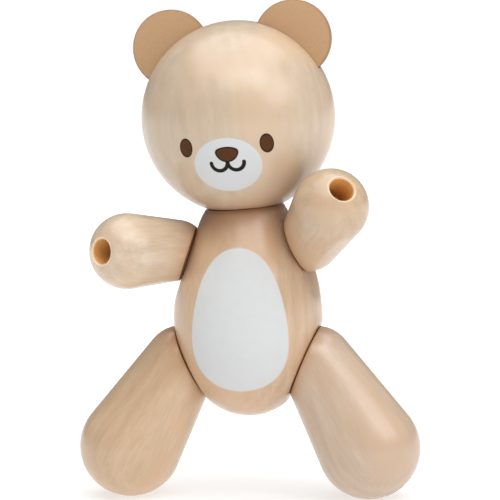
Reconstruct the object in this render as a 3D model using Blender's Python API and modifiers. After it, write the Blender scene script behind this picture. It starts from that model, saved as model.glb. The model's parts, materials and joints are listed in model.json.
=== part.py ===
"""A wooden bear grasping toy: turned pieces strung together on elastic cord.

The bear stands on the XY plane at the middle of its own footprint, faces -Y and is in metres.
Its own left side is +X. One hand is raised beside the head, as such a toy is shown.
"""

import math

import bpy
from mathutils import Matrix, Vector

# Clearance between faces that touch on the real toy
GAP = 0.0003

# Head, a ball with a small flat where it meets the neck
HEAD_RADIUS = 0.0299
HEAD_FLAT_RADIUS = 0.0122
HEAD_TURN = math.radians(-2.8)

# Ears, plain discs let into slots in the head
EAR_RADIUS = 0.0120
EAR_THICKNESS = 0.0030
EAR_EDGE = 0.0005
EAR_REACH = 0.0298
EAR_SPREAD = math.radians(40.2)

# Body, an egg with its wide end down
BODY_RADIUS = 0.02305
BELLY_HEIGHT = 0.0300
NECK_HEIGHT = 0.0652
NECK_RADIUS = 0.0120
NECK_SLANT = math.radians(4.0)
NECK_FLARE = math.radians(31.6)
BELLY_FULLNESS = 0.0158
NECK_FULLNESS = 0.0111

# Shoulder flats on the body, and how far the hands are turned from hanging down
SHOULDER_BELOW_NECK = 0.0136
SHOULDER_DEPTH = 0.0014
SHOULDER_RISE = math.radians(18.6)
SHOULDER_FORWARD = math.radians(7.4)
LOW_HAND_TURN = math.radians(79.4)
HAND_TO_HEAD = 0.0031

# Hip flats on the body, and how far the feet are turned forward from straight down
HIP_HEIGHT = 0.0204
HIP_DEPTH = 0.0029
HIP_DROP = math.radians(24.0)
FOOT_TURN = math.radians(7.5)

# Arms, each a tapered bar with round ends that is cut off aslant at the shoulder
HAND_RADIUS = 0.01165
ARM_END_RADIUS = 0.0098
ARM_SPAN = 0.0211
ARM_SEAT = 0.0059
ARM_MITRE = math.radians(48.4)

# Legs, made the same way
FOOT_RADIUS = 0.01595
LEG_END_RADIUS = 0.01135
LEG_SPAN = 0.0309
LEG_SEAT = 0.0045
LEG_MITRE = math.radians(34.4)

# Stringing: elastic cord, its bores, and the wider bores that hold its knots
CORD_RADIUS = 0.0012
BORE_RADIUS = 0.0020
TIP_BORE_RADIUS = 0.0038
TIP_BORE_DEPTH = 0.0180
MOUTH_CHAMFER = 0.0005
KNOT_RADIUS = 0.0031
KNOT_WRAPS = 3
KNOT_TAIL = 0.0030
EYE_KNOT_RADIUS = 0.0020
PLUG_LENGTH = 0.0070
PEG_RADIUS = 0.0040
PEG_LENGTH = 0.0100
PEG_RECESS = 0.0015

# Facets
BODY_STEPS = 48
LIMB_STEPS = 36
EAR_STEPS = 40
CORD_STEPS = 8
KNOT_STEPS = 12
SHARP_ANGLE = math.radians(32.0)

# Sizes that follow from those above
WRAP_RADIUS = CORD_RADIUS
KNOT_LENGTH = 2 * WRAP_RADIUS * KNOT_WRAPS
HEAD_CENTRE = GAP + math.sqrt(HEAD_RADIUS**2 - HEAD_FLAT_RADIUS**2)
HEAD_BORE_RADIUS = PEG_RADIUS + GAP
HEAD_BORE_DEPTH = PEG_RECESS + PEG_LENGTH + KNOT_LENGTH + KNOT_TAIL + 3 * GAP
SHOULDER_HEIGHT = NECK_HEIGHT - SHOULDER_BELOW_NECK
ARM_REACH = ARM_SPAN + ARM_SEAT
LEG_REACH = LEG_SPAN + LEG_SEAT
EYE_RADIUS = 2 * CORD_RADIUS + GAP
NECK_BORE_RADIUS = EYE_RADIUS + CORD_RADIUS + GAP
RIGHT, LEFT = -1, 1


# Scene and materials

def new_collection(name):
    collection = bpy.data.collections.new(name)
    bpy.context.scene.collection.children.link(collection)
    return collection


def new_material(name, colour, roughness):
    """Make a Principled material of one colour."""
    material = bpy.data.materials.new(name)
    material.use_nodes = True
    shader = material.node_tree.nodes["Principled BSDF"]
    shader.inputs["Base Color"].default_value = (*colour, 1.0)
    shader.inputs["Roughness"].default_value = roughness
    shader.inputs["Metallic"].default_value = 0.0
    material.diffuse_color = (*colour, 1.0)
    return material


# Profiles, as (radius, height) points that run down the outer side

def arc(centre, radius, start, end, count):
    """Points on a round end of a turned piece, from one elevation angle to another."""
    points = []
    for step in range(count + 1):
        angle = start + (end - start) * step / count
        points.append((radius * math.cos(angle), centre + radius * math.sin(angle)))
    return points


def bezier(p0, p1, p2, p3, count):
    """Points on a cubic curve, both ends included."""
    points = []
    for step in range(count + 1):
        t = step / count
        s = 1.0 - t
        weights = (s**3, 3 * s * s * t, 3 * s * t * t, t**3)
        radius = sum(w * p[0] for w, p in zip(weights, (p0, p1, p2, p3)))
        height = sum(w * p[1] for w, p in zip(weights, (p0, p1, p2, p3)))
        points.append((radius, height))
    return points


def body_shoulder_curve(count):
    """The body's side from the neck face down to its widest ring."""
    neck = (NECK_RADIUS, NECK_HEIGHT)
    below_neck = (NECK_RADIUS + NECK_FULLNESS * math.sin(NECK_FLARE),
                  NECK_HEIGHT - NECK_FULLNESS * math.cos(NECK_FLARE))
    above_belly = (BODY_RADIUS, BELLY_HEIGHT + BELLY_FULLNESS)
    return bezier(neck, below_neck, above_belly, (BODY_RADIUS, BELLY_HEIGHT), count)


def body_radius_at(height):
    """The body's radius at a height above its lowest point."""
    if height <= BELLY_HEIGHT:
        return BODY_RADIUS * math.sqrt(1.0 - (1.0 - height / BELLY_HEIGHT)**2)
    curve = body_shoulder_curve(200)
    for (r1, z1), (r2, z2) in zip(curve, curve[1:]):
        if z2 <= height <= z1:
            return r1 + (r2 - r1) * (z1 - height) / (z1 - z2)
    return NECK_RADIUS


def body_profile():
    """The whole egg, carried a little above the neck so that the neck face can be cut aslant."""
    spare = 2 * NECK_RADIUS * math.sin(NECK_SLANT) + GAP
    top_radius = NECK_RADIUS - spare * math.tan(NECK_FLARE)
    top = NECK_HEIGHT + spare
    points = [(0.0, top), (top_radius, top)] + body_shoulder_curve(12)
    for step in range(1, 12):
        angle = math.pi / 2 * step / 12
        points.append((BODY_RADIUS * math.cos(angle), BELLY_HEIGHT * (1.0 - math.sin(angle))))
    return points + [(0.0, 0.0)]


def head_profile():
    """The ball, its flat and the blind bore for the peg, with the neck face at height zero."""
    flat = math.asin((GAP - HEAD_CENTRE) / HEAD_RADIUS)
    top = GAP + HEAD_BORE_DEPTH
    points = [(0.0, HEAD_CENTRE + HEAD_RADIUS)]
    points += arc(HEAD_CENTRE, HEAD_RADIUS, math.pi / 2, flat, 18)[1:]
    points += [(HEAD_BORE_RADIUS + MOUTH_CHAMFER, GAP), (HEAD_BORE_RADIUS, GAP + MOUTH_CHAMFER)]
    return points + [(HEAD_BORE_RADIUS, top), (0.0, top)]


def limb_profile(tip_radius, end_radius, span, reach):
    """A tapered bar between two round ends, bored right through and wider at the tip."""
    taper = math.asin((tip_radius - end_radius) / span)
    mouth = TIP_BORE_RADIUS + MOUTH_CHAMFER
    mouth_height = reach + math.sqrt(tip_radius**2 - mouth**2)
    floor = reach + tip_radius - TIP_BORE_DEPTH
    points = arc(reach, tip_radius, math.acos(mouth / tip_radius), -taper, 12)
    points += arc(reach - span, end_radius, -taper, -math.acos(BORE_RADIUS / end_radius), 8)
    points += [(BORE_RADIUS, floor), (TIP_BORE_RADIUS, floor)]
    return points + [(TIP_BORE_RADIUS, mouth_height - MOUTH_CHAMFER)]


def disc_profile(radius, thickness, edge):
    """A flat disc with eased edges."""
    half = thickness / 2
    rim = radius - edge
    points = [(0.0, half)]
    for side, start in ((1, math.pi / 2), (-1, 0.0)):
        for step in range(4):
            angle = start - math.pi / 2 * step / 3
            points.append((rim + edge * math.cos(angle), side * (half - edge) + edge * math.sin(angle)))
    return points + [(0.0, -half)]


def peg_profile(bottom, length):
    """A bored dowel with eased ends, glued into the head."""
    top = bottom + length
    outer = [(PEG_RADIUS - MOUTH_CHAMFER, top), (PEG_RADIUS, top - MOUTH_CHAMFER),
             (PEG_RADIUS, bottom + MOUTH_CHAMFER), (PEG_RADIUS - MOUTH_CHAMFER, bottom)]
    return outer + [(BORE_RADIUS, bottom), (BORE_RADIUS, top)]


def plug_profile(tip_radius, reach):
    """A plug that closes a tip bore and carries on the round of the tip."""
    radius = TIP_BORE_RADIUS - GAP
    bottom = reach + tip_radius - PLUG_LENGTH
    rim = math.acos((radius - MOUTH_CHAMFER / 2) / tip_radius)
    points = arc(reach, tip_radius, math.pi / 2, rim, 3)
    rim_height = points[-1][1]
    points[0] = (0.0, points[0][1])
    points += [(radius, rim_height - MOUTH_CHAMFER), (radius, bottom + MOUTH_CHAMFER)]
    return points + [(radius - MOUTH_CHAMFER, bottom), (0.0, bottom)]


def knotted_cord_profile(start, seat):
    """A cord from below its joint face up to a stopper knot that sits on a seat, with a short tail."""
    bottom = seat + GAP
    top = bottom + KNOT_LENGTH
    tail = top + KNOT_TAIL
    waist = KNOT_RADIUS - WRAP_RADIUS
    points = [(0.0, tail), (CORD_RADIUS, tail), (CORD_RADIUS, top - WRAP_RADIUS * 0.4)]
    for wrap in range(KNOT_WRAPS):
        middle = top - WRAP_RADIUS * (2 * wrap + 1)
        for angle in (50, 0, -50):
            turn = math.radians(angle)
            points.append((waist + WRAP_RADIUS * math.cos(turn), middle + WRAP_RADIUS * math.sin(turn)))
    points += [(CORD_RADIUS, bottom + WRAP_RADIUS * 0.4), (CORD_RADIUS, start), (0.0, start)]
    return points


# Solids

def add_object(name, mesh, collection):
    obj = bpy.data.objects.new(name, mesh)
    collection.objects.link(obj)
    return obj


def settle(obj):
    """Turn an object's modifiers into its own mesh and shade its round faces smooth."""
    graph = bpy.context.evaluated_depsgraph_get()
    mesh = bpy.data.meshes.new_from_object(obj.evaluated_get(graph))
    mesh.name = obj.name
    obj.modifiers.clear()
    obj.data = mesh
    mesh.shade_smooth()
    mesh.set_sharp_from_angle(angle=SHARP_ANGLE)
    return obj


def turned(name, profile, steps, collection, closed=False):
    """Turn a profile round the Z axis into a solid."""
    mesh = bpy.data.meshes.new(name)
    edges = [(i, i + 1) for i in range(len(profile) - 1)]
    if closed:
        edges.append((len(profile) - 1, 0))
    mesh.from_pydata([(radius, 0.0, height) for radius, height in profile], edges, [])
    obj = add_object(name, mesh, collection)
    screw = obj.modifiers.new("turn", "SCREW")
    screw.axis = "Z"
    screw.steps = steps
    screw.render_steps = steps
    screw.use_merge_vertices = True
    screw.merge_threshold = 0.00001
    return settle(obj)


def slab(name, low, high, matrix):
    """A wide block between two heights of a joint's frame, which cuts a flat."""
    bpy.ops.mesh.primitive_cube_add(size=1.0)
    cutter = bpy.context.active_object
    width = 6 * BODY_RADIUS
    cutter.data.transform(Matrix.Diagonal((width, width, high - low, 1.0)))
    cutter.data.transform(Matrix.Translation((0.0, 0.0, (low + high) / 2)))
    return as_cutter(cutter, name, matrix)


def drill(name, radius, low, high, steps, matrix):
    """A cylinder along an axis, which cuts a bore."""
    bpy.ops.mesh.primitive_cylinder_add(vertices=steps, radius=radius, depth=high - low)
    cutter = bpy.context.active_object
    cutter.data.transform(Matrix.Translation((0.0, 0.0, (low + high) / 2)))
    return as_cutter(cutter, name, matrix)


def as_cutter(obj, name, matrix):
    """File an object with the cutters and put it where it cuts."""
    for collection in list(obj.users_collection):
        collection.objects.unlink(obj)
    CUTTERS.objects.link(obj)
    obj.name = name
    obj.matrix_world = matrix
    obj.display_type = "WIRE"
    obj.hide_render = True
    return obj


def boolean(obj, others, operation="DIFFERENCE"):
    """Cut an object by others, or join others to it."""
    for other in others:
        modifier = obj.modifiers.new(operation.lower(), "BOOLEAN")
        modifier.operation = operation
        modifier.solver = "EXACT"
        modifier.object = other
    bpy.context.view_layer.update()
    return settle(obj)


def hang(obj, parent, matrix, material=None):
    """Parent an object in its parent's frame and give it its material."""
    obj.parent = parent
    obj.matrix_local = matrix
    if material:
        obj.data.materials.clear()
        obj.data.materials.append(material)
    return obj


# Joint frames, in the body's frame: Z leaves the body along the joint's axis, X points down the face

def face_frame(side, out, height, rise, forward):
    normal = Vector((side * math.cos(rise) * math.cos(forward),
                     -math.cos(rise) * math.sin(forward),
                     math.sin(rise)))
    down = Vector((0.0, 0.0, -1.0))
    down = (down - down.dot(normal) * normal).normalized()
    across = normal.cross(down)
    frame = Matrix((down, across, normal)).transposed().to_4x4()
    return Matrix.Translation((side * out, 0.0, height)) @ frame


def shoulder_frame(side):
    out = body_radius_at(SHOULDER_HEIGHT) - SHOULDER_DEPTH
    return face_frame(side, out, SHOULDER_HEIGHT, SHOULDER_RISE, SHOULDER_FORWARD)


def hip_frame(side):
    out = body_radius_at(HIP_HEIGHT) - HIP_DEPTH
    return face_frame(side, out, HIP_HEIGHT, -HIP_DROP, 0.0)


def neck_frame():
    return Matrix.Translation((0.0, 0.0, NECK_HEIGHT)) @ Matrix.Rotation(-NECK_SLANT, 4, "Y")


def turn_about_face(side, turn):
    """A turn of a limb about its joint's axis, from hanging down towards the front."""
    return Matrix.Rotation(-side * turn, 4, "Z")


def raised_hand_turn(side):
    """The turn that brings a raised hand within its clearance of the head."""
    frame = shoulder_frame(side)
    head = neck_frame() @ Vector((0.0, 0.0, HEAD_CENTRE))
    swing = ARM_REACH * math.sin(ARM_MITRE)
    hub = frame @ Vector((0.0, 0.0, ARM_REACH * math.cos(ARM_MITRE))) - head
    down = frame.to_3x3() @ Vector((1.0, 0.0, 0.0))
    front = frame.to_3x3() @ Vector((0.0, -side, 0.0))
    distance = HEAD_RADIUS + HAND_RADIUS + HAND_TO_HEAD
    level = (distance**2 - hub.length_squared - swing**2) / (2 * swing)
    a, b = hub.dot(down), hub.dot(front)
    return math.atan2(b, a) + math.acos(max(-1.0, min(1.0, level / math.hypot(a, b))))


# Pieces

def make_body(parts):
    body = turned("body", body_profile(), BODY_STEPS, parts)
    cutters = [slab("cut_neck_face", 0.0, HEAD_RADIUS, neck_frame())]
    for side, word in ((RIGHT, "right"), (LEFT, "left")):
        cutters.append(slab("cut_shoulder_face_" + word, 0.0, BODY_RADIUS, shoulder_frame(side)))
        cutters.append(slab("cut_hip_face_" + word, 0.0, BODY_RADIUS, hip_frame(side)))
    half = 2 * BODY_RADIUS
    across = Matrix.Rotation(math.pi / 2, 4, "Y")
    shoulder = Matrix.Translation((0.0, 0.0, SHOULDER_HEIGHT)) @ across
    hip = Matrix.Translation((0.0, 0.0, HIP_HEIGHT)) @ across
    bores = [drill("drill_shoulder_bore", BORE_RADIUS, -half, half, KNOT_STEPS, shoulder),
             drill("drill_hip_bore", BORE_RADIUS, -half, half, KNOT_STEPS, hip)]
    floor = SHOULDER_HEIGHT - NECK_BORE_RADIUS
    bores.append(drill("drill_neck_bore", NECK_BORE_RADIUS, floor, NECK_HEIGHT + half,
                       2 * KNOT_STEPS, Matrix.Identity(4)))
    boolean(body, cutters + bores)
    hang(body, FIGURE, Matrix.Identity(4), WOOD_BODY)
    return cutters


def make_body_cords(parts, faces):
    """The cords inside the body, each cut off flush with the faces that it crosses."""
    neck, shoulders, hips = faces[:1], faces[1::2], faces[2::2]
    across = Matrix.Rotation(math.pi / 2, 4, "Y")
    half = BODY_RADIUS
    for name, height, ends in (("shoulder_cord", SHOULDER_HEIGHT, shoulders),
                               ("hip_cord", HIP_HEIGHT, hips)):
        cord = turned(name, [(0.0, half), (CORD_RADIUS, half), (CORD_RADIUS, -half), (0.0, -half)],
                      CORD_STEPS, parts)
        cord.data.transform(Matrix.Translation((0.0, 0.0, height)) @ across)
        hang(boolean(cord, ends), FIGURE, Matrix.Identity(4), ELASTIC)

    top = NECK_HEIGHT + CORD_RADIUS
    knot = SHOULDER_HEIGHT + CORD_RADIUS + GAP + EYE_KNOT_RADIUS
    profile = [(0.0, top), (CORD_RADIUS, top)]
    profile += arc(knot, EYE_KNOT_RADIUS, math.radians(50), -math.pi / 2, 6)[:-1]
    profile.append((0.0, knot - EYE_KNOT_RADIUS))
    strand = turned("neck_cord", profile, CORD_STEPS, parts)
    ring = []
    for step in range(CORD_STEPS):
        angle = -2 * math.pi * step / CORD_STEPS
        ring.append((EYE_RADIUS + CORD_RADIUS * math.cos(angle), CORD_RADIUS * math.sin(angle)))
    eye = turned("join_neck_eye", ring, 2 * CORD_STEPS, parts, closed=True)
    eye.data.transform(across)
    as_cutter(eye, "join_neck_eye", Matrix.Translation((0.0, 0.0, SHOULDER_HEIGHT)))
    boolean(strand, [eye], "UNION")
    hang(boolean(strand, neck), FIGURE, Matrix.Identity(4), ELASTIC)


def make_head(parts, neck):
    """The ball, the two ears in their slots, and the peg and cord inside."""
    head = turned("head", head_profile(), BODY_STEPS, parts)
    slots = []
    for side, word in ((RIGHT, "right"), (LEFT, "left")):
        centre = Vector((side * EAR_REACH * math.sin(EAR_SPREAD), 0.0,
                         HEAD_CENTRE + EAR_REACH * math.cos(EAR_SPREAD)))
        upright = Matrix.Translation(centre) @ Matrix.Rotation(math.pi / 2, 4, "X")
        ear = turned("ear_" + word, disc_profile(EAR_RADIUS, EAR_THICKNESS, EAR_EDGE), EAR_STEPS, parts)
        hang(ear, neck, HEAD_POSE @ upright, BOARD)
        half = EAR_THICKNESS / 2 + GAP
        slots.append(drill("slot_ear_" + word, EAR_RADIUS + GAP, -half, half, EAR_STEPS, upright))
    hang(boolean(head, slots), neck, HEAD_POSE, WOOD_HEAD)

    bottom = GAP + PEG_RECESS
    peg = turned("head_peg", peg_profile(bottom, PEG_LENGTH), KNOT_STEPS * 2, parts, closed=True)
    hang(peg, neck, HEAD_POSE, PEG_WOOD)
    cord = turned("head_cord", knotted_cord_profile(GAP, bottom + PEG_LENGTH), KNOT_STEPS, parts)
    hang(cord, neck, HEAD_POSE, ELASTIC)


def make_limb_pair(parts, name, joints, turns, sizes, material, plugged):
    """One limb's meshes, cut at its mitre, and the copy of each on both sides of the bear."""
    tip_radius, end_radius, span, reach, mitre = sizes
    tilt = Matrix.Rotation(mitre, 4, "Y")
    face = slab("cut_" + name + "_mitre", -2 * reach, GAP, Matrix.Identity(4))
    seat = reach + tip_radius - TIP_BORE_DEPTH
    pieces = [(name, limb_profile(tip_radius, end_radius, span, reach), LIMB_STEPS, True, material),
              (name + "_cord", knotted_cord_profile(-end_radius, seat), KNOT_STEPS, False, ELASTIC)]
    if plugged:
        pieces.append((name + "_plug", plug_profile(tip_radius, reach), KNOT_STEPS * 2, False, PEG_WOOD))
    for piece_name, profile, steps, closed, piece_material in pieces:
        piece = turned(piece_name + "_right", profile, steps, parts, closed)
        piece.data.transform(tilt)
        if not piece_name.endswith("plug"):
            boolean(piece, [face])
        twin = add_object(piece_name + "_left", piece.data, parts)
        for obj, side in ((piece, RIGHT), (twin, LEFT)):
            hang(obj, joints[side], turn_about_face(side, turns[side]), piece_material)


def empty(name, parent, matrix):
    """An empty that marks a joint: its Z is the joint's axis."""
    obj = add_object(name, None, PARTS)
    obj.empty_display_size = HAND_RADIUS
    obj.parent = parent
    obj.matrix_local = matrix
    return obj


def stand_on_origin(figure, objects):
    """Move the whole figure so that the bottom centre of its bounding box is the origin."""
    bpy.context.view_layer.update()
    corners = []
    for obj in objects:
        if obj.type == "MESH":
            corners += [obj.matrix_world @ vertex.co for vertex in obj.data.vertices]
    low = Vector([min(corner[axis] for corner in corners) for axis in range(3)])
    high = Vector([max(corner[axis] for corner in corners) for axis in range(3)])
    middle = (low + high) / 2
    figure.matrix_world = Matrix.Translation((-middle.x, -middle.y, -low.z)) @ figure.matrix_world
    bpy.context.view_layer.update()


for old in list(bpy.data.objects):
    bpy.data.objects.remove(old, do_unlink=True)

PARTS = new_collection("bear_grasping_toy")
CUTTERS = new_collection("cutters")

WOOD_HEAD = new_material("head_wood", (0.72, 0.53, 0.36), 0.38)
WOOD_BODY = new_material("body_wood", (0.64, 0.43, 0.27), 0.42)
WOOD_ARM = new_material("arm_wood", (0.68, 0.49, 0.33), 0.40)
WOOD_LEG = new_material("leg_wood", (0.68, 0.49, 0.33), 0.40)
PEG_WOOD = new_material("peg_wood", (0.66, 0.47, 0.31), 0.50)
BOARD = new_material("ear_board", (0.53, 0.34, 0.18), 0.60)
ELASTIC = new_material("elastic_cord", (0.80, 0.76, 0.68), 0.80)

HEAD_POSE = Matrix.Rotation(HEAD_TURN, 4, "Z")
FIGURE = empty("bear", None, Matrix.Identity(4))
NECK = empty("joint_neck", FIGURE, neck_frame())
SHOULDERS = {RIGHT: empty("joint_shoulder_right", FIGURE, shoulder_frame(RIGHT)),
             LEFT: empty("joint_shoulder_left", FIGURE, shoulder_frame(LEFT))}
HIPS = {RIGHT: empty("joint_hip_right", FIGURE, hip_frame(RIGHT)),
        LEFT: empty("joint_hip_left", FIGURE, hip_frame(LEFT))}

body_faces = make_body(PARTS)
make_body_cords(PARTS, body_faces)
make_head(PARTS, NECK)
make_limb_pair(PARTS, "arm", SHOULDERS, {RIGHT: LOW_HAND_TURN, LEFT: raised_hand_turn(LEFT)},
               (HAND_RADIUS, ARM_END_RADIUS, ARM_SPAN, ARM_REACH, ARM_MITRE), WOOD_ARM, False)
make_limb_pair(PARTS, "leg", HIPS, {RIGHT: FOOT_TURN, LEFT: FOOT_TURN},
               (FOOT_RADIUS, LEG_END_RADIUS, LEG_SPAN, LEG_REACH, LEG_MITRE), WOOD_LEG, True)
stand_on_origin(FIGURE, PARTS.objects)
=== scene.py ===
"""The looks of the wooden bear grasping toy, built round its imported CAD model.

Every wooden piece is turned again here with finer facets and eased edges. It is made in its own frame,
with the grain along its Z axis, and is placed by the CAD's joints. The face and the belly are paint, drawn
by the wood's own shader.
"""
import json
import math

import bmesh
import bpy
from mathutils import Matrix, Vector


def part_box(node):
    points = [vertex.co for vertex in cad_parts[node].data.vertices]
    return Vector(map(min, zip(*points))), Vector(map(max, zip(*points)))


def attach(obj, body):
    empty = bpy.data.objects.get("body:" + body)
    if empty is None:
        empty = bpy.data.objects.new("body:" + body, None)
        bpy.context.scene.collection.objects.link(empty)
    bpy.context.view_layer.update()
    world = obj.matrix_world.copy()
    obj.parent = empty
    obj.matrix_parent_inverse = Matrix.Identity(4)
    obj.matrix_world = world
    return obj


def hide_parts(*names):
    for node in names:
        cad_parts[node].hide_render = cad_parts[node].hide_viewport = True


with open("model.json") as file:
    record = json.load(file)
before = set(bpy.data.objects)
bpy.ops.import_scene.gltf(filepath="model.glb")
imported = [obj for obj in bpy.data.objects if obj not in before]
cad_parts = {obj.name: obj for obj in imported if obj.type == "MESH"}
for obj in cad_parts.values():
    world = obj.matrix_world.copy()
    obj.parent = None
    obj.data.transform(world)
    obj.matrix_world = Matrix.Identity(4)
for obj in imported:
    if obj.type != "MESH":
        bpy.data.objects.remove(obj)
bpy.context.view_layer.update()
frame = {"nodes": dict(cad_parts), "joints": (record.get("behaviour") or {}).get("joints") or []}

MM = 0.001

# The view, as fitted to the photograph
VIEW_AZIMUTH = math.radians(9.48)
VIEW_ELEVATION = math.radians(6.5)
VIEW_ROLL = math.radians(-1.07)
VIEW_DISTANCE = 900.0 * MM
VIEW_ACROSS = 0.95 * MM
VIEW_UP = 51.55 * MM
FOCAL_PIXELS = 2909
PHOTO_PIXELS = 500
SENSOR_MM = 36

# Sizes that the CAD model has too
HEAD_RADIUS = 29.9 * MM
HEAD_FLAT_RADIUS = 12.2 * MM
HEAD_BORE_RADIUS = 4.3 * MM
HEAD_BORE_DEPTH = 22.6 * MM
EAR_RADIUS = 12.0 * MM
EAR_THICKNESS = 3.0 * MM
BODY_RADIUS = 23.05 * MM
BELLY_HEIGHT = 30.0 * MM
BELLY_FULLNESS = 15.8 * MM
NECK_HEIGHT = 65.2 * MM
NECK_RADIUS = 12.0 * MM
NECK_FLARE = math.radians(31.6)
NECK_FULLNESS = 11.1 * MM
NECK_BORE_RADIUS = 4.2 * MM
SHOULDER_HEIGHT = 51.6 * MM
HIP_HEIGHT = 20.4 * MM
BORE_RADIUS = 2.0 * MM
TIP_BORE_RADIUS = 3.8 * MM
TIP_BORE_DEPTH = 18.0 * MM
PLUG_LENGTH = 7.0 * MM
CLEARANCE = 0.3 * MM
ARM = {"tip": 11.65 * MM, "end": 9.4 * MM, "span": 21.1 * MM, "seat": 5.9 * MM, "edge": 0.40 * MM}
LEG = {"tip": 15.95 * MM, "end": 11.35 * MM, "span": 30.9 * MM, "seat": 4.5 * MM, "edge": 0.30 * MM}

SIDES = ("right", "left")
LIMB_JOINTS = [kind + "_turn_" + side for kind in ("shoulder", "hip") for side in SIDES]

# Faces that touch on the real toy lie this far apart here, which is nearer than in the CAD model
JOINT_GAP = 0.08 * MM

# Taken off the round pieces, so that their fine facets stay within the CAD model's coarser ones
FACET_INSET = 0.09 * MM

# Eased edges, which the CAD model leaves sharp
MOUTH_EDGE = 0.50 * MM
EAR_EDGE = 0.55 * MM
FLAT_EDGE = 0.18 * MM
FLAT_SOFTNESS = 0.45 * MM

# Fineness of the turned pieces: steps round the axis, and rows along the profile
HEAD_STEPS = 112
LIMB_STEPS = 96
BODY_STEPS = 176
EAR_STEPS = 96
PLUG_STEPS = 48
BORE_STEPS = 48
HEAD_ROWS = 72
BODY_ROWS = 120
PLUG_ROWS = 8
EASE_ROWS = 4
RIM_ROWS = 3
LIMB_ROWS = {"dome": 26, "side": 24, "face": 5, "bore": 6}
OUTLINE_SAMPLES = {"tip": 6, "end": 60, "side": 400, "body": 90}

# Small measures of the meshes: how far the egg runs on past its neck before the cut, the first row above
# the floor of a wide bore, how much of a cord's far end shows where it goes, and tolerances
NECK_SPARE = 2.0 * MM
FLOOR_STEP = 0.25 * MM
TAIL_DEPTH = 0.1 * MM
CUT_SNAP = 0.2 * MM
WELD = 0.001 * MM
TINY = 1e-9
SHARP_ANGLE = math.radians(35)

# Paint, in millimetres in the plane that faces the front, as (across, up) from the centre of the head
# or the lowest point of the body
FACE_TURN = math.radians(3.5)
FACE_LEAN = math.radians(0.8)
BELLY_TURN = math.radians(1.1)
EYE = {"across": 12.25, "up": -6.69, "width": 2.03, "height": 2.90}
MUZZLE = {"up": -12.51, "width": 10.27, "height": 8.29}
NOSE = {"across": 0.26, "line": 0.35, "corner": 1.53}
NOSE_TOP = {"up": -14.62, "radius": 7.72}
NOSE_SIDE = {"across": 0.13, "up": -7.88, "radius": 3.78}
MOUTH = {"shift": 0.13, "across": 2.50, "up": -11.72, "radius": 2.45, "half_stroke": 0.58}
BELLY = {"up": 32.18, "height": 22.06, "width": 14.44, "narrowing": -3.02, "fullness": 2.77}

# Soft edges of the paint in millimetres, its thickness, and how uneven it is
PAINT_EDGE = 0.20
INK_EDGE = 0.10
PAINT_RISE = 0.5
BLOT = {"scale": 0.9, "range": (0.35, 0.65)}
BELLY_COAT = {"scale": 0.35, "range": (0.3, 0.7), "tone": 0.98}

# Finish: linear colours and how strongly each piece's grain shows
RAW_ROUGHNESS = 0.55
LACQUER = {"roughness": 0.27, "index": 1.6, "paint": 0.4, "ink": 0.10}
HEAD_WOOD = {"tone": (0.592, 0.471, 0.348), "bands": 0.2, "fibres": 0.55, "streaks": 0.35, "mottle": 1.1}
BODY_WOOD = {"tone": (0.62, 0.446, 0.296), "bands": 0.35, "fibres": 1.3, "streaks": 1.0, "mottle": 1.0}
ARM_RIGHT_WOOD = {"tone": (0.65, 0.519, 0.384), "bands": 0.35, "fibres": 1.6, "streaks": 1.3, "mottle": 1.0}
ARM_LEFT_WOOD = {"tone": (0.578, 0.435, 0.302), "bands": 0.35, "fibres": 1.6, "streaks": 1.3, "mottle": 1.0}
LEG_RIGHT_WOOD = {"tone": (0.649, 0.462, 0.297), "bands": 0.3, "fibres": 1.1, "streaks": 0.8, "mottle": 0.7}
LEG_LEFT_WOOD = {"tone": (0.602, 0.463, 0.345), "bands": 0.3, "fibres": 1.1, "streaks": 0.8, "mottle": 0.7}
# Inside the hole in a tip: raw wood, made brighter and more orange as painted bounce light
RAW_BORE_AND_BOUNCE_LIGHT = (0.86, 0.50, 0.19)
RING_WOOD = (0.93, 0.73, 0.55)
# Painted shade: a dark rim, and a warmer, darker tone, by the joints and under the head
JOINT_SHADE_WOOD = (0.50, 0.28, 0.15)
WARM_SHADE_WOOD = (0.90, 0.66, 0.46)
# Dark flecks of the grain, and the painted shade in the groove at a limb's joint face
FLECK_AND_GROOVE_SHADE_WOOD = (0.13, 0.032, 0.008)
RAW_WOOD = (0.46, 0.31, 0.19)
PAINT_WHITE = (0.676, 0.691, 0.688)
MUZZLE_WHITE = (0.628, 0.646, 0.650)
PAINT_BROWN = (0.078, 0.026, 0.004)
PAINT_RUST = (0.096, 0.030, 0.006)
PAINT_BLACK = (0.012, 0.003, 0.001)

# Grain: each layer of noise as (scales per millimetre, detail, roughness), and a seed for each piece
GRAIN_LAYERS = {
    "bend": ((0.05, 0.05, 0.012), 3.0, 0.5),
    "fibre": ((1.3, 1.3, 0.045), 4.0, 0.6),
    "streak": ((0.28, 0.28, 0.012), 2.0, 0.5),
    "fleck": ((4.5, 4.5, 0.40), 1.0, 0.5),
    "cloud": ((0.050, 0.050, 0.030), 2.0, 0.5),
    "mottle": ((0.24, 0.24, 0.11), 3.0, 0.6),
}
GRAIN_TINTS = {"light": (1.09, 1.09, 1.10), "dark": (0.88, 0.84, 0.80), "warm": (1.04, 0.95, 0.88)}
SEEDS = {"body": 1, "head": 2, "arm_right": 3, "arm_left": 4, "leg_right": 5, "leg_left": 6,
         "leg_plug_right": 7, "leg_plug_left": 8, "head_peg": 9, "ear_right": 0, "ear_left": 1}
SEED_STEPS = (37.0, 19.0, 53.0)
PITH = {"across": 46.0, "across_sway": 9.0, "back": 58.0, "back_sway": 11.0}
RINGS = {"spacing": 2.3, "wander": 14.0}
FLECK = {"range": (0.66, 0.76), "share": 0.12, "rise": -0.6}
WARMTH = (0.40, 0.62, 0.0, 0.8)
FIBRE_RISE = 0.5
GRAIN_DEPTH = 0.02
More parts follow.
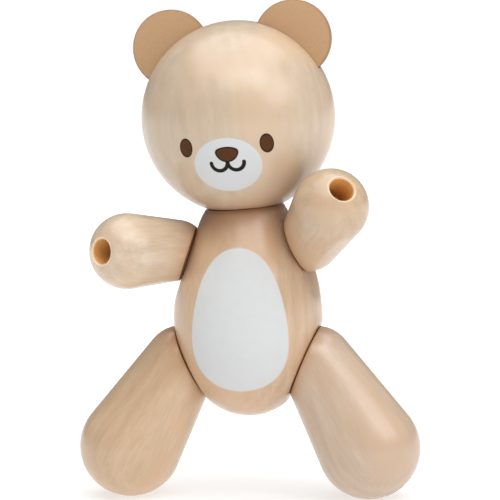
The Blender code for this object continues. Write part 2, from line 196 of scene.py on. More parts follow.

# Where the wood changes, in millimetres, as (from, to, share at from, share at to). HOLE counts outwards
# from the wall of the hole in a tip. The edges count along a joint's axis, from its plane: painted shade,
# dark as far as LIMB_EDGE or NECK_EDGE, with a painted dark rim and a warmer painted shade up to each reach.
# The last three are painted shade on the body, under the head by the neck and round the limbs.
HOLE = {"ring": (0.5, 0.9, 0.7, 0.0), "bore": (0.02, 0.22, 1.0, 0.0), "spare": 0.5}
LIMB_EDGE = 0.70
NECK_EDGE = 0.15
EDGE_WARM_SHADE = {"reach": 5.0, "share": 0.35}
EDGE_RIM_SHADE = {"reach": 1.6, "share": 0.4}
RAW_FADE = (0.01, 0.05)
DULL_EDGE = (0.4, 1.0, 1.0, 0.0)
NECK_SHADE = (-14.0, -0.5, 0.0, 0.50)
NECK_RIM_SHADE = (-1.8, -0.2, 0.0, 0.5)
LIMB_SHADE = {"shoulder": 9.5, "hip": 11.0, "fade": 4.5, "share": 0.45, "depth": (-6.0, -2.0)}

# Ears and cords
BOARD = {"light": (0.535, 0.341, 0.187), "dark": (0.475, 0.292, 0.151), "warm": (0.518, 0.319, 0.182),
         "edge": (0.315, 0.175, 0.0865), "roughness": 0.62, "specular": 0.3, "speckle": (2.2, 2.2, 2.2),
         "speckle_step": 31.0, "cloud": (0.08, 0.08, 0.08), "cloud_step": 17.0, "range": (0.3, 0.7),
         "detail": 4.0, "grit": 0.7, "warmth": 0.6, "rubbed": 0.25, "rim": 0.85, "depth": 0.03}
CORD = {"dark": (0.20, 0.11, 0.05), "light": (0.33, 0.19, 0.09), "roughness": 0.85, "specular": 0.2,
        "scale": 0.7, "distortion": 1.5, "depth": 0.10}

# Floor, with its radius in metres and its glow's reach in millimetres, and the room
WHITE = (1.0, 1.0, 1.0, 1.0)
FLOOR = {"radius": 40.0, "steps": 96, "roughness": 0.9, "cloud": 0.004, "dark": (0.50, 0.50, 0.50),
         "light": (0.52, 0.52, 0.52)}
FLOOR_GLOW = {"near": 0.62, "far": 0.97, "from": 160.0, "to": 700.0}
ROOM_STRENGTH = 0.20

# Lights as (name, azimuth, elevation, distance, width, height, power), in degrees, metres and watts
LIGHTS = (
    ("key", 62, 34, 0.9, 0.55, 0.50, 2.1),
    ("high", 15, 50, 0.9, 0.75, 0.36, 2.3),
    ("top", 0, 88, 0.9, 1.30, 1.10, 9.0),
)


# Frames of the pieces

JOINTS = {joint["name"]: joint for joint in frame["joints"]}


def joint_point(name):
    return Vector(JOINTS[name]["pos_m"])


def joint_axis(name):
    return Vector(JOINTS[name]["axis"]).normalized()


def axes(x, y, z, origin):
    """A matrix from three axes and an origin."""
    return Matrix.Translation(origin) @ Matrix((x, y, z)).transposed().to_4x4()


def body_frame():
    """X to the bear's left, Z up the egg, and the origin at its lowest point."""
    left, right = joint_point("hip_turn_left"), joint_point("hip_turn_right")
    x = (left - right).normalized()
    z = x.cross(Vector((0.0, 1.0, 0.0))).normalized()
    return axes(x, z.cross(x), z, (left + right) / 2 - z * HIP_HEIGHT)


def middle(node):
    low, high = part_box(node)
    return (low + high) / 2


def head_frame():
    """X to the bear's left, Z up the neck's axis, and the origin at the centre of the ball."""
    z = joint_axis("neck_turn")
    across = middle("ear_left") - middle("ear_right")
    x = (across - across.dot(z) * z).normalized()
    rise = CLEARANCE + math.sqrt(HEAD_RADIUS**2 - HEAD_FLAT_RADIUS**2)
    return axes(x, z.cross(x), z, joint_point("neck_turn") + z * rise)


def limb_frame(joint, cord):
    """Z out along the limb, X towards the high side of its slanted face, and the origin on the joint."""
    origin, normal = joint_point(joint), joint_axis(joint)
    points = [vertex.co - origin for vertex in frame["nodes"][cord].data.vertices]
    reach = max(point.length for point in points)
    tail = [point for point in points if point.length > reach - TAIL_DEPTH]
    z = sum(tail, Vector()).normalized()
    slant = z.angle(normal)
    x = (math.cos(slant) * z - normal).normalized()
    return axes(x, z.cross(x), z, origin), slant


# Meshes

def arc(centre, radius, start, end, count):
    """Points of a round profile as (radius, height), from one elevation to another."""
    turns = [start + (end - start) * step / count for step in range(count + 1)]
    return [(radius * math.cos(turn), centre + radius * math.sin(turn)) for turn in turns]


def bezier(points, count):
    """Points on a curve with two, three or four control points."""
    found = []
    for step in range(count + 1):
        line = [Vector(point) for point in points]
        while len(line) > 1:
            line = [a.lerp(b, step / count) for a, b in zip(line, line[1:])]
        found.append(tuple(line[0]))
    return found


def spaced(points, count):
    """The same line with evenly spaced points."""
    line = [Vector(point) for point in points]
    lengths = [0.0]
    for a, b in zip(line, line[1:]):
        lengths.append(lengths[-1] + (b - a).length)
    found, at = [], 0
    for step in range(count + 1):
        goal = lengths[-1] * step / count
        while at < len(line) - 2 and lengths[at + 1] < goal:
            at += 1
        share = (goal - lengths[at]) / max(lengths[at + 1] - lengths[at], TINY)
        found.append(tuple(line[at].lerp(line[at + 1], share)))
    return found


def turned_mesh(columns, closed):
    """A mesh round the Z axis from one (radius, height) column for each turn."""
    bm = bmesh.new()
    grid = []
    for index, column in enumerate(columns):
        turn = 2 * math.pi * index / len(columns)
        grid.append([bm.verts.new((r * math.cos(turn), r * math.sin(turn), z)) for r, z in column])
    count = len(columns[0])
    for index, a in enumerate(grid):
        b = grid[(index + 1) % len(grid)]
        for row in range(count if closed else count - 1):
            below = (row + 1) % count
            bm.faces.new((a[row], a[below], b[below], b[row]))
    bmesh.ops.remove_doubles(bm, verts=bm.verts, dist=WELD)
    bmesh.ops.recalc_face_normals(bm, faces=bm.faces)
    return bm


def add_piece(name, bm, matrix, body, nodes, material):
    """Makes an object of a mesh in its place and lets it ride on its body for the CAD nodes."""
    mesh = bpy.data.meshes.new(name)
    bm.to_mesh(mesh)
    bm.free()
    mesh.transform(matrix)
    mesh.shade_smooth()
    mesh.set_sharp_from_angle(angle=SHARP_ANGLE)
    piece = bpy.data.objects.new(name, mesh)
    bpy.context.scene.collection.objects.link(piece)
    mesh.materials.append(material)
    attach(piece, body)
    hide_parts(*nodes)


def cut_flat(bm, point, normal):
    """Cuts a flat on a mesh and eases its edge."""
    everything = bm.verts[:] + bm.edges[:] + bm.faces[:]
    bmesh.ops.bisect_plane(bm, geom=everything, dist=CUT_SNAP, plane_co=point, plane_no=normal,
                           use_snap_center=True, clear_outer=True)
    rim = [edge for edge in bm.edges if edge.is_boundary]
    bmesh.ops.holes_fill(bm, edges=rim, sides=0)
    bmesh.ops.bevel(bm, geom=rim, offset=FLAT_EDGE, segments=2, profile=0.5, affect="EDGES",
                    clamp_overlap=True)


def press_flat(bm, point, normal, ease):
    """Flattens what stands beyond a plane, with an eased edge."""
    for vertex in bm.verts:
        depth = (vertex.co - point).dot(normal)
        near = max(ease - abs(depth), 0.0)
        vertex.co -= normal * (max(depth, 0.0) + near**2 / ease / 4)


def carve(bm, cutters):
    """Cuts a mesh by others with an exact boolean, and returns the new mesh."""
    objects = []
    for index, source in enumerate([bm] + cutters):
        mesh = bpy.data.meshes.new("carving")
        source.to_mesh(mesh)
        source.free()
        obj = bpy.data.objects.new("carving_%d" % index, mesh)
        bpy.context.scene.collection.objects.link(obj)
        objects.append(obj)
    for cutter in objects[1:]:
        modifier = objects[0].modifiers.new("cut", "BOOLEAN")
        modifier.solver = "EXACT"
        modifier.object = cutter
    graph = bpy.context.evaluated_depsgraph_get()
    carved = bmesh.new()
    carved.from_mesh(objects[0].evaluated_get(graph).to_mesh())
    for obj in objects:
        mesh = obj.data
        bpy.data.objects.remove(obj)
        bpy.data.meshes.remove(mesh)
    return carved


def disc(radius, thickness, edge, steps):
    """A flat disc across the Z axis with eased edges."""
    half, rim = thickness / 2, radius - edge
    profile = [(0.0, half)]
    profile += bezier([(rim, half), (radius, half), (radius, half - edge)], EASE_ROWS)
    profile += bezier([(radius, edge - half), (radius, -half), (rim, -half)], EASE_ROWS)
    profile.append((0.0, -half))
    return turned_mesh([profile] * steps, closed=False)


def rod(radius, low, high, matrix):
    """A plain cylinder, which only cuts bores."""
    bm = bmesh.new()
    bmesh.ops.create_cone(bm, cap_ends=True, segments=BORE_STEPS, radius1=radius, radius2=radius,
                          depth=high - low)
    place = matrix @ Matrix.Translation((0.0, 0.0, (low + high) / 2))
    bmesh.ops.transform(bm, matrix=place, verts=bm.verts)
    return bm


# Pieces

def limb_column(size, slant, turn):
    """One column of a limb: tip, taper, small end, eased slanted face, bore and the wider bore."""
    tip, end, seat = size["tip"] - FACET_INSET, size["end"], size["seat"]
    reach = size["span"] + seat
    taper = math.asin((tip - end) / size["span"])
    rise, base = math.tan(slant) * math.cos(turn), JOINT_GAP / math.cos(slant)
    floor = reach + tip - TIP_BORE_DEPTH
    mouth = TIP_BORE_RADIUS + MOUTH_EDGE
    brow = reach + math.sqrt(tip**2 - mouth**2)

    outer = arc(reach, tip, 0.0, -taper, OUTLINE_SAMPLES["tip"])
    outer += arc(seat, end, -taper, -math.pi / 2, OUTLINE_SAMPLES["end"])
    kept = [point for point in outer if point[1] > base + rise * point[0]]
    (r1, z1), (r2, z2) = kept[-1], outer[len(kept)]
    over, under = z1 - base - rise * r1, z2 - base - rise * r2
    share = over / (over - under)
    corner = (r1 + (r2 - r1) * share, z1 + (z2 - z1) * share)
    count = OUTLINE_SAMPLES["side"]
    side = spaced(kept + [corner], count)
    total = sum(math.dist(a, b) for a, b in zip(side, side[1:]))
    side = side[:int(count * (1 - size["edge"] / total)) + 1]
    step = size["edge"] / math.hypot(1.0, rise)
    inner = (corner[0] - step, corner[1] - rise * step)
    bore = (BORE_RADIUS, base + rise * BORE_RADIUS)

    column = arc(reach, tip, math.acos(mouth / tip), 0.0, LIMB_ROWS["dome"])[:-1]
    column += spaced(side, LIMB_ROWS["side"])
    column += bezier([side[-1], corner, inner], EASE_ROWS)[1:]
    column += spaced([inner, bore], LIMB_ROWS["face"])[1:]
    column += [(BORE_RADIUS, floor), (TIP_BORE_RADIUS, floor)]
    wall = [(TIP_BORE_RADIUS, floor + FLOOR_STEP), (TIP_BORE_RADIUS, brow - MOUTH_EDGE)]
    return column + spaced(wall, LIMB_ROWS["bore"])


def add_limb(kind, side, joint, size, wood):
    name = kind + "_" + side
    matrix, slant = limb_frame(joint, kind + "_cord_" + side)
    turns = [2 * math.pi * index / LIMB_STEPS for index in range(LIMB_STEPS)]
    bm = turned_mesh([limb_column(size, slant, turn) for turn in turns], closed=True)
    material = limb_material(name + "_grain", matrix, joint, size, SEEDS[name], wood)
    add_piece(name + "_wood", bm, matrix, name, [name], material)
    return matrix


def add_plug(side, matrix, wood):
    """The dowel that closes the bore of a foot and carries on its round."""
    radius, tip = TIP_BORE_RADIUS - CLEARANCE, LEG["tip"] - FACET_INSET
    reach = LEG["span"] + LEG["seat"]
    bottom = reach + tip - PLUG_LENGTH
    edge = MOUTH_EDGE / 2
    dome = arc(reach, tip, math.pi / 2, math.acos((radius - edge) / tip), PLUG_ROWS)
    dome[0] = (0.0, dome[0][1])
    rim = dome[-1][1]
    profile = dome + bezier([dome[-1], (radius, rim), (radius, rim - MOUTH_EDGE)], RIM_ROWS)[1:]
    profile += [(radius, bottom + MOUTH_EDGE), (radius - MOUTH_EDGE, bottom), (0.0, bottom)]
    bm = turned_mesh([profile] * PLUG_STEPS, closed=False)
    node = "leg_plug_" + side
    material = plain_material("leg_plug_grain_" + side, matrix, SEEDS[node], wood, lacquer=1.0)
    add_piece("leg_plug_wood_" + side, bm, matrix, "leg_" + side, [node], material)


def add_body():
    """The egg with its flats, turned and then cut."""
    matrix = body_frame()
    inward = matrix.inverted()
    neck = (NECK_RADIUS, NECK_HEIGHT)
    below_neck = (NECK_RADIUS + NECK_FULLNESS * math.sin(NECK_FLARE),
                  NECK_HEIGHT - NECK_FULLNESS * math.cos(NECK_FLARE))
    above_belly = (BODY_RADIUS, BELLY_HEIGHT + BELLY_FULLNESS)
    over = (NECK_RADIUS - NECK_SPARE * math.tan(NECK_FLARE), NECK_HEIGHT + NECK_SPARE)
    count = OUTLINE_SAMPLES["body"]
    side = bezier([neck, below_neck, above_belly, (BODY_RADIUS, BELLY_HEIGHT)], count)
    for step in range(1, count + 1):
        turn = math.pi / 2 * step / count
        side.append((BODY_RADIUS * math.cos(turn), BELLY_HEIGHT * (1 - math.sin(turn))))
    profile = [(0.0, over[1]), over] + spaced(side, BODY_ROWS)
    profile[-1] = (0.0, 0.0)
    bm = turned_mesh([profile] * BODY_STEPS, closed=False)
    for name in LIMB_JOINTS:
        press_flat(bm, inward @ joint_point(name), inward.to_3x3() @ joint_axis(name), FLAT_SOFTNESS)
    cut_flat(bm, inward @ joint_point("neck_turn"), inward.to_3x3() @ joint_axis("neck_turn"))
    across = Matrix.Rotation(math.pi / 2, 4, "Y") @ Matrix.Rotation(math.pi / BORE_STEPS, 4, "Z")
    bores = [rod(BORE_RADIUS, -BODY_RADIUS, BODY_RADIUS, Matrix.Translation((0, 0, height)) @ across)
             for height in (SHOULDER_HEIGHT, HIP_HEIGHT)]
    bores.append(rod(NECK_BORE_RADIUS, SHOULDER_HEIGHT - NECK_BORE_RADIUS, NECK_HEIGHT + NECK_RADIUS,
                     Matrix.Identity(4)))
    material = body_material(matrix, SEEDS["body"], BODY_WOOD)
    add_piece("body_wood", carve(bm, bores), matrix, "torso", ["body"], material)


def add_head():
    """The ball with its ear slots, and the two ears."""
    matrix = head_frame()
    inward = matrix.inverted()
    flat = JOINT_GAP - CLEARANCE - math.sqrt(HEAD_RADIUS**2 - HEAD_FLAT_RADIUS**2)
    radius = HEAD_RADIUS - FACET_INSET
    flat_radius = math.sqrt(radius**2 - flat**2)
    rim_turn = math.asin(flat / radius)
    ball = arc(0.0, radius, math.pi / 2, rim_turn + FLAT_EDGE / radius, HEAD_ROWS)
    ball[0] = (0.0, radius)
    ease = [ball[-1], (flat_radius, flat), (flat_radius - FLAT_EDGE, flat)]
    top = flat + HEAD_BORE_DEPTH
    profile = ball + bezier(ease, RIM_ROWS)[1:]
    profile += [(HEAD_BORE_RADIUS, flat), (HEAD_BORE_RADIUS, top), (0.0, top)]
    bm = turned_mesh([profile] * HEAD_STEPS, closed=False)
    upright = Matrix.Rotation(math.pi / 2, 4, "X")
    slots, places = [], {}
    for side in SIDES:
        places[side] = Matrix.Translation(inward @ middle("ear_" + side)) @ upright
        slot = disc(EAR_RADIUS + CLEARANCE / 2, EAR_THICKNESS + CLEARANCE, CLEARANCE, EAR_STEPS)
        bmesh.ops.transform(slot, matrix=places[side], verts=slot.verts)
        slots.append(slot)
    material = head_material(matrix, SEEDS["head"], HEAD_WOOD)
    add_piece("head_wood", carve(bm, slots), matrix, "head", ["head"], material)
    for side in SIDES:
        bm = disc(EAR_RADIUS - FACET_INSET, EAR_THICKNESS, EAR_EDGE, EAR_STEPS)
        node, place = "ear_" + side, matrix @ places[side]
        material = board_material("ear_tan_" + side, place, SEEDS[node])
        add_piece("ear_board_" + side, bm, place, "head", [node], material)


# Materials

class Shader:
    """A Principled material that is put together node by node. Lengths are in millimetres."""

    # The Mix node's sockets for colours
    MIX_SHARE, MIX_A, MIX_B, MIX_RESULT = 0, 6, 7, 2

    def __init__(self, name, roughness, specular=0.1, lacquer=0.0):
        self.material = bpy.data.materials.new(name)
        self.material.use_nodes = True
        self.tree = self.material.node_tree
        self.surface = self.tree.nodes["Principled BSDF"]
        self.surface.inputs["Roughness"].default_value = roughness
        self.surface.inputs["Specular IOR Level"].default_value = specular
        self.surface.inputs["Coat Weight"].default_value = lacquer
        self.surface.inputs["Coat Roughness"].default_value = LACQUER["roughness"]
        self.surface.inputs["Coat IOR"].default_value = LACQUER["index"]

    def node(self, kind, inputs, **settings):
        node = self.tree.nodes.new("ShaderNode" + kind)
        for name, value in settings.items():
            setattr(node, name, value)
        for name, value in inputs.items():
            if isinstance(value, bpy.types.NodeSocket):
                self.tree.links.new(value, node.inputs[name])
            else:
                node.inputs[name].default_value = value
        return node

    def math(self, operation, *values, clamp=False):
        inputs = dict(enumerate(values))
        return self.node("Math", inputs, operation=operation, use_clamp=clamp).outputs[0]

    def place(self, matrix):
        """A point in a frame of the piece."""
        source = self.node("TexCoord", {}).outputs["Object"]
        inputs = {"Vector": source, "Location": matrix.translation, "Rotation": matrix.to_euler(),
                  "Scale": (MM, MM, MM)}
        return self.node("Mapping", inputs, vector_type="TEXTURE").outputs[0]

    def beyond(self, joint):
        """How far a point lies beyond a joint's face, along its axis."""
        normal = joint_axis(joint)
        inputs = {0: self.node("TexCoord", {}).outputs["Object"], 1: normal / MM}
        reach = self.node("VectorMath", inputs, operation="DOT_PRODUCT").outputs["Value"]
        return self.math("SUBTRACT", reach, joint_point(joint).dot(normal) / MM)

    def off_axis(self, joint):
        """How far a point is from a joint's axis."""
        turn = joint_axis(joint).to_track_quat("Z", "Y").to_matrix().to_4x4()
        x, y = self.split(self.place(Matrix.Translation(joint_point(joint)) @ turn))[:2]
        return self.length(x, y)

    def stretched(self, place, scale, shift):
        return self.node("Mapping", {"Vector": place, "Location": shift, "Scale": scale}).outputs[0]

    def split(self, place):
        return self.node("SeparateXYZ", {"Vector": place}).outputs

    def length(self, a, b):
        return self.math("SQRT", self.math("ADD", self.math("MULTIPLY", a, a), self.math("MULTIPLY", b, b)))

    def noise(self, place, scale=1.0, detail=2.0, roughness=0.5):
        inputs = {"Vector": place, "Scale": scale, "Detail": detail, "Roughness": roughness}
        return self.node("TexNoise", inputs).outputs[0]

    def ramp(self, value, low, high, to_low=0.0, to_high=1.0):
        inputs = {"Value": value, "From Min": low, "From Max": high, "To Min": to_low, "To Max": to_high}
        return self.node("MapRange", inputs, interpolation_type="SMOOTHSTEP").outputs[0]

    def mix(self, share, a, b, blend="MIX"):
        node = self.node("Mix", {}, data_type="RGBA", blend_type=blend)
        for index, value in ((self.MIX_SHARE, share), (self.MIX_A, a), (self.MIX_B, b)):
            if isinstance(value, bpy.types.NodeSocket):
                self.tree.links.new(value, node.inputs[index])
            else:
                node.inputs[index].default_value = value if isinstance(value, float) else (*value, 1.0)
        return node.outputs[self.MIX_RESULT]

    def finish(self, colour, height=None, depth=0.0, lacquer=None):
        self.tree.links.new(colour, self.surface.inputs["Base Color"])
        if lacquer is not None:
            self.tree.links.new(lacquer, self.surface.inputs["Coat Weight"])
        if height is not None:
            bump = self.node("Bump", {"Height": height, "Distance": depth * MM, "Strength": 1.0})
            self.tree.links.new(bump.outputs[0], self.surface.inputs["Normal"])
        return self.material


def grain(shader, matrix, seed, wood):
    """Pale close-grained wood along Z: faint growth bands, fibres, flecks and a warmer cloudiness."""
    place = shader.place(matrix)
    away = [step * seed for step in SEED_STEPS]

    def layer(name):
        scale, detail, roughness = GRAIN_LAYERS[name]
        return shader.noise(shader.stretched(place, scale, away), detail=detail, roughness=roughness)

    x, y = shader.split(place)[:2]
    pith_x = PITH["across"] + PITH["across_sway"] * math.sin(seed)
    pith_y = PITH["back"] + PITH["back_sway"] * math.cos(2 * seed)
    radius = shader.length(shader.math("ADD", x, pith_x), shader.math("ADD", y, pith_y))
    radius = shader.math("MULTIPLY_ADD", layer("bend"), RINGS["wander"], radius)
    band = shader.ramp(shader.math("PINGPONG", radius, RINGS["spacing"]), 0.0, RINGS["spacing"])
    fibre = layer("fibre")
    fleck = shader.ramp(layer("fleck"), *FLECK["range"])
    share = shader.math("MULTIPLY_ADD", band, wood["bands"], 0.5 - wood["bands"] / 2)
    for noise, strength in ((fibre, wood["fibres"]), (layer("streak"), wood["streaks"])):
        share = shader.math("MULTIPLY_ADD", shader.math("SUBTRACT", noise, 0.5), strength, share)
    mottle = shader.math("SUBTRACT", layer("mottle"), 0.5)
    share = shader.math("MULTIPLY_ADD", mottle, wood["mottle"], share, clamp=True)
    tints = {name: [a * b for a, b in zip(wood["tone"], tint)] for name, tint in GRAIN_TINTS.items()}
    colour = shader.mix(share, tints["dark"], tints["light"])
    colour = shader.mix(shader.ramp(layer("cloud"), *WARMTH), colour, tints["warm"])
    colour = shader.mix(shader.math("MULTIPLY", fleck, FLECK["share"]), colour, FLECK_AND_GROOVE_SHADE_WOOD)
    fibre = shader.math("MULTIPLY", fibre, FIBRE_RISE)
    return colour, shader.math("MULTIPLY_ADD", fleck, FLECK["rise"], fibre)


def ellipse(shader, across, up, width, height):
    """How far inside an ellipse a point is, roughly."""
    out = shader.length(shader.math("DIVIDE", across, width), shader.math("DIVIDE", up, height))
    return shader.math("MULTIPLY", shader.math("SUBTRACT", 1.0, out), min(width, height))


def beyond_disc(shader, across, up, centre_across, centre_up, radius):
    """How far outside a disc a point is."""
    a = shader.math("SUBTRACT", across, centre_across)
    b = shader.math("SUBTRACT", up, centre_up)
    return shader.math("SUBTRACT", shader.length(a, b), radius)


def front_only(shader, mask, y):
    """Keeps a mask off the back of a piece."""
    return shader.math("MULTIPLY", mask, shader.math("LESS_THAN", y, 0.0))


def raw_face_and_painted_shade(shader, colour, joint, edge, tone):
    """Raw wood on a joint's face, with painted shade round it: a dark edge, and a warmer, darker tone next
    to that.
    """
    beyond = shader.beyond(joint)
    # Painted shade towards a joint's face: a warmer, darker tone, then a dark rim
    painted_shade = shader.ramp(beyond, edge, EDGE_WARM_SHADE["reach"], EDGE_WARM_SHADE["share"], 0.0)
    colour = shader.mix(painted_shade, colour, WARM_SHADE_WOOD, "MULTIPLY")
    rim = shader.ramp(beyond, edge, EDGE_RIM_SHADE["reach"], EDGE_RIM_SHADE["share"], 0.0)
    colour = shader.mix(rim, colour, JOINT_SHADE_WOOD)
    # Painted shade: the eased edge of the face turns to the dark tone
    colour = shader.mix(shader.ramp(beyond, edge / 3, edge, 1.0, 0.0), colour, tone)
    low, high = [JOINT_GAP / MM + step for step in RAW_FADE]
    return shader.mix(shader.ramp(beyond, low, high, 1.0, 0.0), colour, RAW_WOOD)


def plain_material(name, matrix, seed, wood, lacquer=0.0):
    shader = Shader(name, RAW_ROUGHNESS, lacquer=lacquer)
    colour, height = grain(shader, matrix, seed, wood)
    return shader.finish(colour, height, GRAIN_DEPTH)


def limb_material(name, matrix, joint, size, seed, wood):
    """Lacquered wood with a paler ring round the mouth of its bore, a raw bore and a raw joint face. The
    bore's colour adds painted bounce light, and the face's edge painted shade.
    """
    shader = Shader(name, RAW_ROUGHNESS)
    colour, height = grain(shader, matrix, seed, wood)
    x, y, z = shader.split(shader.place(matrix))
    out = shader.math("SUBTRACT", shader.length(x, y), TIP_BORE_RADIUS / MM)
    floor = (size["span"] + size["seat"] + size["tip"] - TIP_BORE_DEPTH) / MM
    at_tip = shader.math("GREATER_THAN", z, floor - HOLE["spare"])
    ring = shader.math("MULTIPLY", shader.ramp(out, *HOLE["ring"]), at_tip)
    bore = shader.math("MULTIPLY", shader.ramp(out, *HOLE["bore"]), at_tip)
    colour = shader.mix(ring, colour, RING_WOOD)
    # Painted bounce light in the bore, over its raw wood
    colour = shader.mix(bore, colour, RAW_BORE_AND_BOUNCE_LIGHT)
    # The dark edge of the limb's face is painted shade in the groove
    colour = raw_face_and_painted_shade(shader, colour, joint, LIMB_EDGE, FLECK_AND_GROOVE_SHADE_WOOD)
    worn = shader.ramp(shader.beyond(joint), *DULL_EDGE)
    lacquer = shader.math("SUBTRACT", 1.0, shader.math("MAXIMUM", bore, worn))
    return shader.finish(colour, height, GRAIN_DEPTH, lacquer)


def head_material(matrix, seed, wood):
    """Wood with the face painted on."""
    shader = Shader("head_wood_painted", RAW_ROUGHNESS)
    colour, height = grain(shader, matrix, seed, wood)
    # Painted shade, darker and warmer, round the head's flat over the neck
    colour = raw_face_and_painted_shade(shader, colour, "neck_turn", NECK_EDGE, JOINT_SHADE_WOOD)
    place = shader.place(matrix @ Matrix.Rotation(FACE_TURN, 4, "Z") @ Matrix.Rotation(FACE_LEAN, 4, "Y"))
    x, y, z = shader.split(place)

    def above(level):
        return shader.math("SUBTRACT", z, level)

    def beside(across):
        return shader.math("ABSOLUTE", shader.math("SUBTRACT", x, across))

    muzzle = ellipse(shader, x, above(MUZZLE["up"]), MUZZLE["width"], MUZZLE["height"])
    muzzle = front_only(shader, shader.ramp(muzzle, -PAINT_EDGE, PAINT_EDGE), y)

    side = shader.math("SUBTRACT", beside(0.0), EYE["across"])
    eye = ellipse(shader, side, above(EYE["up"]), EYE["width"], EYE["height"])

    side = beside(NOSE["across"])
    top = beyond_disc(shader, side, z, 0.0, NOSE_TOP["up"], NOSE_TOP["radius"])
    flank = beyond_disc(shader, side, z, -NOSE_SIDE["across"], NOSE_SIDE["up"], NOSE_SIDE["radius"])
    nose = shader.math("SMOOTH_MAX", top, flank, NOSE["corner"])

    side = beside(MOUTH["shift"])
    curl = beyond_disc(shader, side, z, MOUTH["across"], MOUTH["up"], MOUTH["radius"])
    curl = shader.math("SUBTRACT", shader.math("ABSOLUTE", curl), MOUTH["half_stroke"])
    curl = shader.math("MAXIMUM", curl, above(MOUTH["up"]))
    for end in (MOUTH["across"] - MOUTH["radius"], MOUTH["across"] + MOUTH["radius"]):
        cap = beyond_disc(shader, side, z, end, MOUTH["up"], MOUTH["half_stroke"])
        curl = shader.math("MINIMUM", curl, cap)

    in_eye = shader.ramp(eye, -INK_EDGE, INK_EDGE)
    fill = shader.math("MAXIMUM", in_eye, shader.ramp(nose, INK_EDGE, -INK_EDGE))
    width = NOSE["line"]
    line = shader.math("MULTIPLY", shader.ramp(nose, -width - PAINT_EDGE, -width + INK_EDGE), fill)
    rim = shader.math("MULTIPLY", shader.ramp(eye, width + INK_EDGE, width - PAINT_EDGE), fill)
    line = shader.math("MAXIMUM", shader.ramp(curl, INK_EDGE, -INK_EDGE), shader.math("MINIMUM", line, rim))
    fill, line = front_only(shader, fill, y), front_only(shader, line, y)

    blot = shader.ramp(shader.noise(place, scale=BLOT["scale"]), *BLOT["range"])
    colour = shader.mix(muzzle, colour, MUZZLE_WHITE)
    colour = shader.mix(fill, colour, shader.mix(blot, PAINT_BROWN, PAINT_RUST))
    colour = shader.mix(line, colour, PAINT_BLACK)
    ink = shader.math("MAXIMUM", fill, line)
    painted = shader.math("MAXIMUM", muzzle, ink)
    height = shader.math("MULTIPLY_ADD", painted, PAINT_RISE, height)
    lacquer = shader.math("MULTIPLY_ADD", painted, LACQUER["paint"] - 1.0, 1.0)
    lacquer = shader.math("MULTIPLY_ADD", ink, LACQUER["ink"] - LACQUER["paint"], lacquer)
    return shader.finish(colour, height, GRAIN_DEPTH, lacquer)


def body_material(matrix, seed, wood):
    """Wood with a white belly painted on, and painted shade, darker and browner, under the head and round
    the limbs.
    """
    shader = Shader("body_wood_painted", RAW_ROUGHNESS)
    colour, height = grain(shader, matrix, seed, wood)
    # Painted shade under the head, and darker still at the neck's rim
    for reach in (NECK_SHADE, NECK_RIM_SHADE):
        tone = shader.ramp(shader.beyond("neck_turn"), *reach)
        colour = shader.mix(tone, colour, JOINT_SHADE_WOOD, "MULTIPLY")
    # Painted shade, warm and darker, on the body round each limb's joint face
    for joint in LIMB_JOINTS:
        low = LIMB_SHADE["shoulder" if "shoulder" in joint else "hip"]
        high = low + LIMB_SHADE["fade"]
        painted_shade = shader.ramp(shader.off_axis(joint), low, high, LIMB_SHADE["share"], 0.0)
        painted_shade = shader.math("MULTIPLY", painted_shade, shader.ramp(shader.beyond(joint), *LIMB_SHADE["depth"]))
        colour = shader.mix(painted_shade, colour, WARM_SHADE_WOOD, "MULTIPLY")

    place = shader.place(matrix @ Matrix.Rotation(BELLY_TURN, 4, "Z"))
    x, y, z = shader.split(place)
    up = shader.math("DIVIDE", shader.math("SUBTRACT", z, BELLY["up"]), BELLY["height"])
    width = shader.math("MULTIPLY_ADD", up, BELLY["fullness"], BELLY["narrowing"])
    width = shader.math("MULTIPLY_ADD", width, up, BELLY["width"])
    out = shader.length(shader.math("DIVIDE", x, width), up)
    inside = shader.math("MULTIPLY", shader.math("SUBTRACT", 1.0, out), BELLY["width"])
    belly = front_only(shader, shader.ramp(inside, -PAINT_EDGE, PAINT_EDGE), y)
    coat = shader.ramp(shader.noise(place, scale=BELLY_COAT["scale"], detail=3.0), *BELLY_COAT["range"])
    paint = shader.mix(coat, PAINT_WHITE, [part * BELLY_COAT["tone"] for part in PAINT_WHITE])
    colour = shader.mix(belly, colour, paint)
    height = shader.math("MULTIPLY_ADD", belly, PAINT_RISE, height)
    lacquer = shader.math("MULTIPLY_ADD", belly, LACQUER["paint"] - 1.0, 1.0)
    return shader.finish(colour, height, GRAIN_DEPTH, lacquer)


def board_material(name, matrix, seed):
    """Even tan board with a fine speckle and a rubbed, darker edge."""
    shader = Shader(name, BOARD["roughness"], specular=BOARD["specular"])
    place = shader.place(matrix)
    x, y = shader.split(place)[:2]
    speckle = shader.stretched(place, BOARD["speckle"], (BOARD["speckle_step"] * seed, 0.0, 0.0))
    speckle = shader.noise(speckle, detail=BOARD["detail"], roughness=BOARD["grit"])
    cloud = shader.noise(shader.stretched(place, BOARD["cloud"], (BOARD["cloud_step"] * seed, 0.0, 0.0)))
    colour = shader.mix(shader.ramp(speckle, *BOARD["range"]), BOARD["dark"], BOARD["light"])
    colour = shader.mix(shader.ramp(cloud, *BOARD["range"], 0.0, BOARD["warmth"]), colour, BOARD["warm"])
    inner = (EAR_RADIUS - EAR_EDGE) / MM - BOARD["rubbed"]
    rim = shader.ramp(shader.length(x, y), inner, EAR_RADIUS / MM, 0.0, BOARD["rim"])
    colour = shader.mix(rim, colour, BOARD["edge"])
    return shader.finish(colour, speckle, BOARD["depth"])


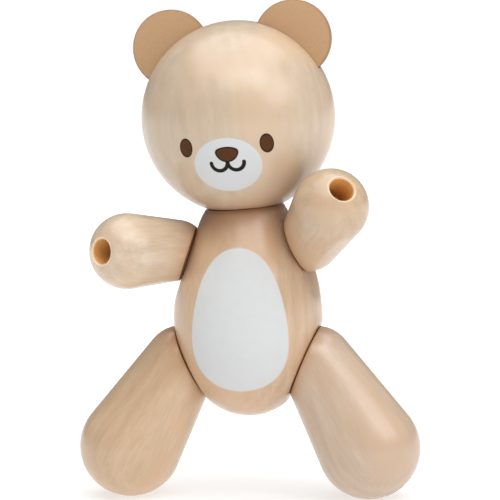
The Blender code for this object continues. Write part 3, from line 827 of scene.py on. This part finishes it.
def cord_material():
    """Braided elastic, for the lengths inside."""
    shader = Shader("cord_braid", CORD["roughness"], specular=CORD["specular"])
    place = shader.place(Matrix.Identity(4))
    inputs = {"Vector": place, "Scale": CORD["scale"], "Distortion": CORD["distortion"]}
    braid = shader.node("TexWave", inputs, bands_direction="DIAGONAL").outputs[1]
    colour = shader.mix(braid, CORD["dark"], CORD["light"])
    return shader.finish(colour, braid, CORD["depth"])


# The scene round the bear

def view_target():
    """The point of the body's frame that the camera looks at."""
    return body_frame() @ Vector((VIEW_ACROSS, 0.0, VIEW_UP))


def direction(azimuth, elevation):
    """Towards a compass direction, where azimuth 0 is in front of the bear."""
    return Vector((math.sin(azimuth) * math.cos(elevation), -math.cos(azimuth) * math.cos(elevation),
                   math.sin(elevation)))


def add_camera():
    data = bpy.data.cameras.new("camera")
    data.sensor_width = SENSOR_MM
    data.lens = FOCAL_PIXELS / PHOTO_PIXELS * SENSOR_MM
    camera = bpy.data.objects.new("camera", data)
    bpy.context.scene.collection.objects.link(camera)
    back = direction(VIEW_AZIMUTH, VIEW_ELEVATION)
    turn = back.to_track_quat("Z", "Y").to_matrix() @ Matrix.Rotation(VIEW_ROLL, 3, "Z")
    camera.location = view_target() + back * VIEW_DISTANCE
    camera.rotation_euler = turn.to_euler()
    bpy.context.scene.camera = camera


def add_light(name, azimuth, elevation, distance, width, height, power):
    """A soft oblong light that faces the bear from a compass direction."""
    away = direction(math.radians(azimuth), math.radians(elevation))
    data = bpy.data.lights.new(name, "AREA")
    data.shape = "RECTANGLE"
    data.size = width
    data.size_y = height
    data.energy = power
    light = bpy.data.objects.new(name, data)
    bpy.context.scene.collection.objects.link(light)
    light.location = view_target() + away * distance
    light.rotation_euler = away.to_track_quat("Z", "Y").to_euler()


def add_floor():
    mesh = bpy.data.meshes.new("floor")
    bm = bmesh.new()
    bmesh.ops.create_circle(bm, cap_ends=True, segments=FLOOR["steps"], radius=FLOOR["radius"])
    bm.to_mesh(mesh)
    bm.free()
    floor = bpy.data.objects.new("floor", mesh)
    bpy.context.scene.collection.objects.link(floor)
    shader = Shader("floor_pale", FLOOR["roughness"])
    place = shader.place(Matrix.Identity(4))
    cloud = shader.noise(place, scale=FLOOR["cloud"])
    x, y = shader.split(place)[:2]
    glow = shader.ramp(shader.length(x, y), FLOOR_GLOW["from"], FLOOR_GLOW["to"], FLOOR_GLOW["near"],
                       FLOOR_GLOW["far"])
    shader.surface.inputs["Emission Color"].default_value = WHITE
    shader.tree.links.new(glow, shader.surface.inputs["Emission Strength"])
    mesh.materials.append(shader.finish(shader.mix(cloud, FLOOR["dark"], FLOOR["light"])))


def add_world():
    world = bpy.data.worlds.new("world")
    world.use_nodes = True
    sky = world.node_tree.nodes["Background"]
    sky.inputs["Color"].default_value = WHITE
    sky.inputs["Strength"].default_value = ROOM_STRENGTH
    bpy.context.scene.world = world


bpy.context.scene.view_settings.view_transform = "Standard"
add_camera()
add_world()
for light in LIGHTS:
    add_light(*light)
add_floor()

add_body()
add_head()
for side, arm_wood, leg_wood in (("right", ARM_RIGHT_WOOD, LEG_RIGHT_WOOD),
                                 ("left", ARM_LEFT_WOOD, LEG_LEFT_WOOD)):
    add_limb("arm", side, "shoulder_turn_" + side, ARM, arm_wood)
    foot = add_limb("leg", side, "hip_turn_" + side, LEG, leg_wood)
    add_plug(side, foot, leg_wood)

peg_wood = plain_material("peg_wood_plain", head_frame(), SEEDS["head_peg"], BODY_WOOD)
cord_braid = cord_material()
for name, node in frame["nodes"].items():
    if "cord" in name or name == "head_peg":
        node.data.materials.clear()
        node.data.materials.append(peg_wood if name == "head_peg" else cord_braid)
